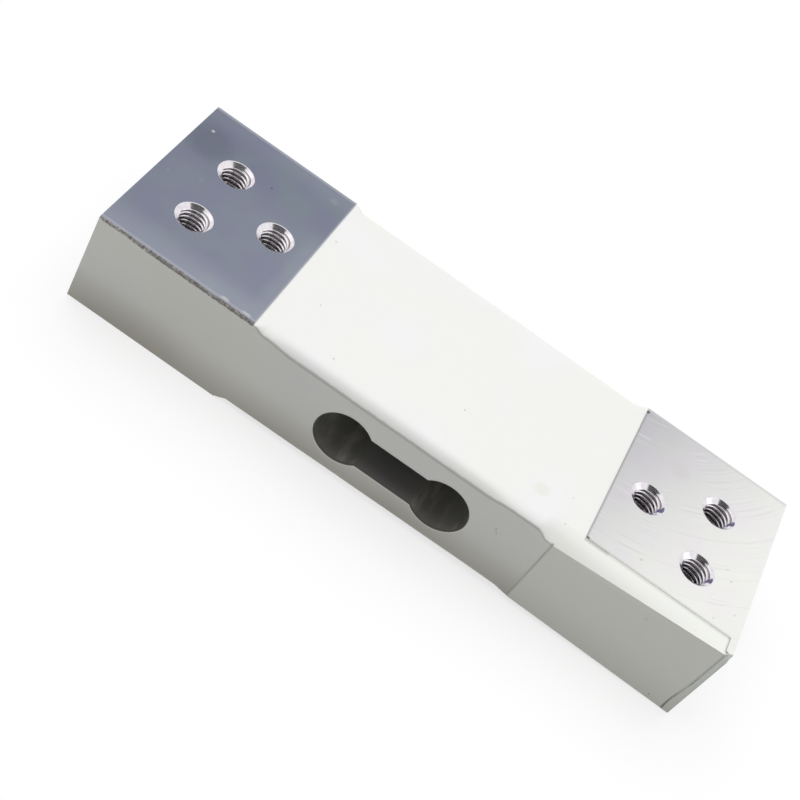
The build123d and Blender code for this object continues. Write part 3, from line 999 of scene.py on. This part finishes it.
# painted shade line in the groove at the joint with the filling
colour = joint_shade_line(coat, colour)
specks = at_height(flat_high, (-31.8, 8.8, 0.22), (-26.7, -7.5, 0.18), (-19.2, -16.6, 0.22),
                   (4.4, -8.3, 0.2), (28.5, -10.7, 0.16), (29.3, -17.2, 0.18))
colour = coat.spots(colour, grey(130, 128, 118), 0.45, [*specks, (28.0, -20.4, 18.4, 0.22)])
colour = coat.spots(colour, grey(228, 229, 215), 0.5, at_height(flat_high, (22.9, -13.5, 1.6)))
nick = [(x, -outer_half, z, 0.2) for x, z in ((20.3, 13.6), (20.5, 13.2), (20.8, 12.7))]
colour = coat.spots(colour, grey(120, 118, 112), 0.35, nick)

mouth = coat.box((-window_half, None, 2.8), (window_half, None, 16.8))
# painted highlight: a lighter rim round the opening, half as strong on the lower half
lip = coat.product(coat.step(off_side, outer_half - 0.002, outer_half - 0.03), mouth)
lower_half = coat.step(coat.z, eye_height + 1.0, eye_height - 1.0)
colour = coat.paint(colour, grey(250, 251, 248), lip, coat.between(lower_half, 1.0, 0.5))
# painted shade: the coat darkens going into the opening, nearer the side on the lower half
opening_shade_reach = coat.math("MULTIPLY_ADD", lower_half, -0.12, off_side)
painted_opening_shade = coat.step(opening_shade_reach, outer_half - 0.17, outer_half - 0.24)
colour = coat.paint(colour, grey(112, 110, 104), painted_opening_shade, mouth)
print("specks", len(specks) + 1)

# %% [markdown]
# Beside the bare pads the cutter smeared metal over the coat's rim, so the rim takes the painted
# reflection shades of the pad next to it. Along the left pad's near edge the coat broke away, and dirt
# has worked into the break. The break's border wavers with a mottling, as a torn edge does.

# %% White coat: smeared and torn rims
on_rim = coat.product(coat.step(coat.z, 20.48, 20.54),
                      coat.step(from_middle, waist_half - 0.05, waist_half + 0.1))
# the rim's shades copy the pads' painted reflections, blue-grey on the left and bright on the right
right_smear = coat.mix(coat.step(coat.x, waist_half, half_length), grey(186, 186, 190), grey(212, 212, 210))
left_smear = coat.mix(coat.step(coat.y, 5.0, -5.0), grey(132, 135, 151), grey(138, 142, 157))
smeared = coat.mix(coat.step(coat.x, -5.0, 5.0), left_smear, right_smear)
colour = coat.paint(colour, smeared, on_rim, 0.9)
waver = coat.grain(0.7)
break_y = coat.math("MULTIPLY_ADD", waver, 0.7, -20.9)
outer = coat.product(coat.step(coat.math("SUBTRACT", coat.y, break_y), 0.1, -0.1),
                     coat.box((None, None, None), (-waist_half, None, None)))
narrower = coat.math("MULTIPLY_ADD", coat.step(coat.x, -54.0, -60.0), -0.2, coat.z)
high = coat.step(coat.math("SUBTRACT", narrower, waver), 19.3, 19.65)
dirt = coat.mix(coat.step(coat.grain(0.5), 0.35, 0.65), grey(88, 85, 83), grey(158, 154, 150))
colour = coat.paint(colour, dirt, outer, high)
white_coat = satin(coat, colour, clouds)

# %% [markdown]
# ### Filling and end strip
#
# The filling is the same compound, cast and wiped off by hand: a little greener, with a painted shade
# line at the joint with the side coat, a grey line where it ends on the end wall, and a painted shade
# line along the pad that it was cast against. The strip beyond it is worn along the cell's corner.

# %% Filling and end strip
fill = Finish("white_filling")
colour, clouds = white_compound(fill, grey(241, 241, 235), grey(240, 242, 237), 0.1, 0.1)
# painted shade line in the groove at the joint with the side coat
colour = joint_shade_line(fill, colour)
fading = fill.math("ADD", fill.grain(5.0), fill.step(fill.z, 9.0, 1.0))
at_end = fill.step(fill.measure("near_end"), 0.55, 0.9)
colour = fill.paint(colour, grey(120, 116, 112), at_end, fading, 0.6)
colour = fill.spots(colour, grey(110, 108, 100), 0.45, [(60.1, -outer_half, 1.4, 0.25)])
colour = fill.spots(colour, grey(150), 0.15, [(57.5, -20.0, 20.3, 0.3), (49.9, -outer_half, 16.5, 0.4)])
# painted shade: a grey line where the filling meets the pad's edge
along_pad = fill.product(fill.step(fill.y, recess_floor - 0.8, recess_floor - 0.2),
                         fill.step(fill.x, waist_half - 0.1, waist_half + 0.1))
line_strength = fill.between(fill.step(fill.x, 38.6, 38.0), 0.2, 0.45)
colour = fill.paint(colour, grey(120, 120, 116), along_pad, line_strength)
white_filling = satin(fill, colour, clouds)

edge_coat = Finish("white_end_coat")
colour, clouds = white_compound(edge_coat, grey(236, 238, 230), grey(236, 240, 237), 0.3, 0.0)
worn = edge_coat.step(edge_coat.x, half_length - 0.4, half_length)
colour = edge_coat.paint(colour, grey(130, 130, 126), worn, 0.25)
white_end = satin(edge_coat, colour, clouds, grain_size=1.5, relief=0.1)

# %% [markdown]
# ### Milled aluminium: the pads
#
# The pads are face-milled and left bare, and their shades are painted reflections. The left one is a
# dull blue-grey, with a painted highlight along its near rim and at its inner end. The right one is
# much brighter, more so towards its near outer corner, and shows the arcs of the face mill and one
# deeper arc. Both shades are painted blends between a far and a near colour, because milled metal
# mirrors its surroundings differently from place to place.

# %% Milled aluminium: the pads
metal = Finish("milled_aluminium")
fine = metal.grain(1.0)
tint = metal.math("MULTIPLY_ADD", metal.step(fine, 0.3, 0.7), 0.25,
                  metal.math("MULTIPLY", metal.group(cloud_group, Size=7.0), 0.75))
# painted reflection: the left pad's blue-grey shades, lighter towards its near side
left_far = metal.mix(tint, grey(131, 134, 153), grey(132, 142, 152))
left_near = metal.mix(tint, grey(138, 141, 160), grey(140, 148, 158))
left_rim = metal.mix(tint, grey(153, 157, 172), grey(155, 163, 171))
nearer = metal.math("MAXIMUM", metal.step(metal.y, 12.0, 1.0), metal.step(metal.y, 15.0, 19.5))
left = metal.mix(nearer, left_far, left_near)
# painted highlight: lighter along the left pad's near rim and, half as strong, at its inner end
left = metal.paint(left, left_rim, metal.step(metal.y, -12.9, -19.5))
left = metal.paint(left, left_rim, metal.step(metal.x, -37.0, -34.5), metal.step(metal.y, 9.0, 1.0), 0.5)

# painted reflection: the right pad's bright shades, brightest towards its near outer corner
right_far = metal.mix(tint, grey(156, 149, 166), grey(154, 151, 164))
right_near = metal.mix(tint, grey(242, 240, 240), grey(242, 244, 238))
slanted = metal.math("MULTIPLY_ADD", metal.y, -0.49, metal.x)
right = metal.mix(metal.step(slanted, -5.0, 67.0), right_far, right_near)
cutter_centre, deep_arc = (31.0, 36.5, full_height), 42.7
arcs = metal.group(arcs_group, Centre=cutter_centre, Spacing=0.7, Evenness=0.4)
right = metal.paint(right, grey(190, 190, 188), metal.step(arcs, 0.02, 0.16), 0.2)
right = metal.paint(right, grey(252), metal.step(arcs, -0.03, -0.17), 0.2)
off_arc = metal.apart(metal.vector("DISTANCE", metal.place, cutter_centre), deep_arc)
right = metal.paint(right, grey(190, 190, 188), metal.step(off_arc, 0.3, 0.05),
                    metal.step(metal.x, 38.0, 52.0), 0.12)
right = metal.paint(right, grey(150), metal.step(metal.x, waist_half + 0.5, waist_half + 0.1), 0.6)
by_filling = metal.step(metal.y, recess_floor + 0.6, recess_floor)
right = metal.paint(right, grey(170), by_filling, metal.step(metal.x, recess_end, recess_end - 0.3), 0.3)
top = metal.mix(metal.step(metal.x, -5.0, 5.0), left, right)
print("the deep arc runs", deep_arc, "mm from the cutter's centre")

# %% [markdown]
# The left pad's inner end and near edge carry a thin painted highlight. Dents, stains and the small
# chips at the edges lie where they do on the real pads: each is one ragged mark with its own shade,
# but one broad dark mark beside the left pad's holes is a painted shade.

# %% Milled aluminium: edges and marks on the pads
# painted highlight: a thin lavender line along the left pad's inner end and near edge
painted_end_highlight = metal.product(metal.step(metal.x, -33.75, -33.5), metal.step(metal.x, 0.0, -5.0))
near_edge = metal.product(metal.step(metal.y, -19.85, -20.15), metal.step(metal.x, -33.0, -34.0))
top = metal.paint(top, grey(176, 175, 188), metal.math("MAXIMUM", painted_end_highlight, near_edge))
pad_marks = [
    (grey(236), 1.0, [(-62.3, 14.2, 0.4)]),
    (grey(90), 0.8, [(-47.1, 10.4, 0.25)]),
    # painted shade: the broad dark mark beside the left pad's holes
    (grey(110, 112, 128), 0.45, [(-61.0, 11.0, 5.0)]),
    (grey(156, 163, 170), 0.4, [(-57.4, 1.3, 0.4), (-62.8, -1.5, 0.5), (-36.9, 17.6, 0.9)]),
    (grey(88), 0.9, [(33.8, -17.0, 0.35), (33.6, 19.9, 0.45)]),
    (grey(176), 0.4, [(60.2, -5.4, 0.3), (62.8, -12.0, 0.25), (59.4, -15.5, 0.25), (58.8, -3.4, 0.2),
                      (43.8, -13.9, 0.35)]),
    (grey(200, 202, 190), 0.2, [(43.7, 11.4, 2.2)])]
for shade, strength, marks in pad_marks:
    top = metal.spots(top, shade, strength, at_height(full_height, *marks))
edge_chips = at_height(full_height, (-39.9, -20.0, 0.5), (-35.5, -20.1, 0.5))
top = metal.spots(top, grey(196, 198, 199), 0.9, edge_chips, stretch=(0.5, 1.0, 1.0))
print("marks on the pads:", sum(len(marks) for *_, marks in pad_marks) + len(edge_chips))

# %% [markdown]
# ### Milled aluminium: the other faces and the opening
#
# The end faces are milled too, with finer and more even arcs. The walls of the opening carry a painted
# shade: dark, and not shaded as bare metal there. The round ends are brighter in streaks, where the
# reamer rubbed them, and a painted light makes them brighter towards their crowns.

# %% Milled aluminium: the other faces and the opening
plain = metal.mix(tint, grey(184, 185, 188), grey(192, 192, 194))
end_arcs = metal.group(arcs_group, Centre=(0.0, 12.0, -60.0), Spacing=0.3, Evenness=0.8)
plain = metal.paint(plain, grey(162, 162, 166), metal.step(end_arcs, 0.0, 0.16), 0.35)
plain = metal.paint(plain, grey(212, 212, 213), metal.step(end_arcs, 0.0, -0.16), 0.35)
recess_wall = metal.box((waist_half, recess_floor - 0.1, 20.2), (recess_end, recess_floor + 0.1, None))
plain = metal.paint(plain, grey(246), recess_wall)
colour = metal.mix(metal.step(metal.z, 20.52, 20.58), plain, top)

opening = metal.box((-16.0, None, 3.9), (16.0, None, 15.7))
long_streaks = metal.vector("MULTIPLY", metal.place, (0.5, 0.12, 0.5))
streaks = metal.step(metal.noise(long_streaks, 1.0, 5.0, 0.6), 0.45, 0.72)
# painted light and shade: the round ends darker low down and lighter towards their crowns, streaked in both
lower_end = metal.mix(streaks, grey(120, 119, 113), grey(156, 154, 148))
crown_end = metal.mix(streaks, grey(186, 185, 179), grey(226, 224, 217))
streaks_and_painted_light = metal.mix(metal.step(metal.z, eye_height - 3.0, eye_height + 4.0), lower_end, crown_end)
in_eye = metal.step(metal.math("ABSOLUTE", metal.x), slot_corner - 0.3, slot_corner + 0.3)
# painted shade: the opening's walls are dark
colour = metal.paint(colour, metal.mix(in_eye, grey(118, 117, 116), streaks_and_painted_light), opening)
milled = metal.shade(Base_Color=colour, Metallic=metal.math("SUBTRACT", 1.0, opening),
                     Roughness=metal.between(fine, 0.28, 0.48), Normal=metal.bump(fine, 0.08, 0.03))

# %% [markdown]
# ### Tapped holes
#
# The cones and threads were cut last, with a sharp tap, and are the brightest metal on the cell. A
# painted shade darkens them away from both faces, in the left pad half as much as in the right one,
# and between the ridges.

# %% Tapped holes
tapped = Finish("tapped_aluminium")
colour = tapped.mottled(0.9, grey(222, 216, 224), grey(240, 238, 240))
from_face = tapped.math("MINIMUM", tapped.z, tapped.math("SUBTRACT", full_height, tapped.z))
painted_depth_shade_share = tapped.between(tapped.step(tapped.x, -5.0, 5.0), 0.5, 1.0)
# painted shade: darker deeper in the holes, half as much in the left pad
colour = tapped.paint(colour, grey(84, 80, 84), painted_depth_shade_share, tapped.step(from_face, 0.8, 7.0))
# painted shade: darker between the ridges
colour = tapped.paint(colour, grey(84, 76, 68), tapped.step(tapped.measure("root"), 0.3, 0.8), 0.75)
bright_metal = tapped.shade(Base_Color=colour, Metallic=1.0,
                            Roughness=tapped.between(tapped.grain(0.9), 0.1, 0.2))

# %% [markdown]
# ### Inside the coat: gauges, terminals, wires and leads
#
# The gauges, their terminals, wires, leads and the trim board are sealed in, but they are finished
# too, so that a cut or an open view shows them as they are. Where one node has two materials, a mask
# on its height or depth tells them apart. The others are one mottled material each.

# %% Gauges, terminals, wires and leads
FILM_TOP, RESIN_TOP = 0.13, 0.31


def outward(finish):
    """Distance of a point outside the waist's floors, in mm: above the upper or below the lower."""
    up = finish.math("SUBTRACT", finish.z, waist_high)
    return finish.math("MAXIMUM", up, finish.math("SUBTRACT", waist_low, finish.z))


def past(finish, distance, limit):
    """1 where a distance is more than the limit, which lies between two flat faces."""
    return finish.step(distance, limit - 0.005, limit + 0.005)


def partly_metal(finish, mask, other, bare, roughness):
    """Metal in the bare shade where the mask is 1, and the other material elsewhere."""
    return finish.shade(Base_Color=finish.mix(mask, other, bare), Metallic=mask, Roughness=roughness)


def grained(name, size, dark, light, roughness, relief=None, **sockets):
    """One material whose shade, roughness and relief all follow one grain."""
    finish = Finish(name)
    if relief:
        sockets["Normal"] = finish.bump(finish.grain(size), *relief)
    return finish.shade(Base_Color=finish.mottled(size, dark, light),
                        Roughness=finish.between(finish.grain(size), *roughness), **sockets)


gauge = Finish("gauge_film")
film = gauge.mottled(1.5, grey(196, 132, 52), grey(214, 152, 70))
foil = gauge.mottled(1.5, grey(168, 160, 150), grey(196, 188, 176))
gauge_film = partly_metal(gauge, past(gauge, outward(gauge), FILM_TOP), film, foil,
                          gauge.between(gauge.grain(0.6), 0.25, 0.45))

strip_end = Finish("solder_terminal")
resin = strip_end.mottled(0.5, grey(150, 132, 84), grey(172, 154, 104))
is_tin = past(strip_end, outward(strip_end), RESIN_TOP)
solder_terminal = partly_metal(strip_end, is_tin, resin, strip_end.mottled(0.7, grey(188), grey(214)),
                               strip_end.between(is_tin, 0.55, 0.3))

copper_wire = grained("copper_wire", 0.3, grey(184, 104, 66), grey(216, 138, 94), (0.2, 0.4), Metallic=1.0)
ribbon_lead = grained("ribbon_lead", 0.6, grey(150, 52, 44), grey(170, 66, 54), (0.35, 0.55), (0.2, 0.02))

# %% [markdown]
# ### Inside the coat: the trim board, its resistors and the bush
#
# The board is green glass cloth with tinned lands on its front, and its weave is the product of two
# waves. The chip resistors are black with tinned caps, the nickel one is a wound foil on a brown
# carrier, and the bush is dark rubber.

# %% Trim board, resistors and bush
LAND_DEPTH, CAP_MIDDLE = 1.11, 40.2
board = Finish("glass_board")
weave = board.product(*(board.math("SINE", board.math("MULTIPLY", way, 14.0)) for way in (board.x, board.z)))
green = board.mix(board.step(weave, -0.8, 0.8), grey(34, 92, 58), grey(46, 108, 70))
is_land = past(board, board.math("SUBTRACT", recess_floor, board.y), LAND_DEPTH)
glass_board = partly_metal(board, is_land, green, board.mottled(0.7, grey(190), grey(216)),
                           board.between(weave, 0.4, 0.45))

chip = Finish("chip_resistor")
cap = chip.step(chip.apart(chip.x, CAP_MIDDLE), 1.15, 1.2)
chip_resistor = partly_metal(chip, cap, chip.mottled(0.4, grey(30), grey(44)),
                             chip.mottled(0.3, grey(184), grey(210)), chip.between(cap, 0.5, 0.3))

nickel = Finish("nickel_resistor")
wave = nickel.math("SINE", nickel.math("MULTIPLY", nickel.z, 12.0))
nickel_resistor = nickel.shade(
    Base_Color=nickel.mix(nickel.step(wave, -0.2, 0.2), grey(186, 126, 58), grey(176, 170, 160)),
    Roughness=nickel.between(nickel.grain(0.5), 0.3, 0.5))
bush_rubber = grained("bush_rubber", 0.35, grey(26), grey(40), (0.5, 0.75), (0.3, 0.03))

# %% [markdown]
# ## Handing out the finishes
#
# The nodes that keep their shape only change material. Names tell which finish is whose.

# %% Handing out the finishes
finish_of = {
    "beam": milled, "jacket": white_coat, "end_coat": white_end, "recess_filling": white_filling,
    "gauge": gauge_film, "terminal": solder_terminal, "jumpers": copper_wire, "lead": ribbon_lead,
    "trim": glass_board, "zero": chip_resistor, "span": chip_resistor, "temperature": nickel_resistor,
    "cable": bush_rubber}
for name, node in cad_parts.items():
    finish = finish_of.get(name) or finish_of[name.split("_")[0]]
    for material_slot in node.material_slots:
        material_slot.material = finish
jacket.data.materials.append(white_coat)
filling.data.materials.append(white_filling)
strip.data.materials.append(white_end)
for name in hole_places:
    bpy.data.objects["thread_" + name].data.materials.append(bright_metal)
print("finishes handed out to", len(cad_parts), "nodes and", 3 + len(hole_places), "new pieces")

# %% [markdown]
# ## Size
#
# The dressed cell must keep the model's size, so the growth of its box over the model's is printed.

# %% Size
new_low, new_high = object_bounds()
growth = [round((a - b) / MM, 3) for a, b in zip((*new_low, *new_high), (*cad_low, *cad_high))]
print("grew by, in mm:", growth)
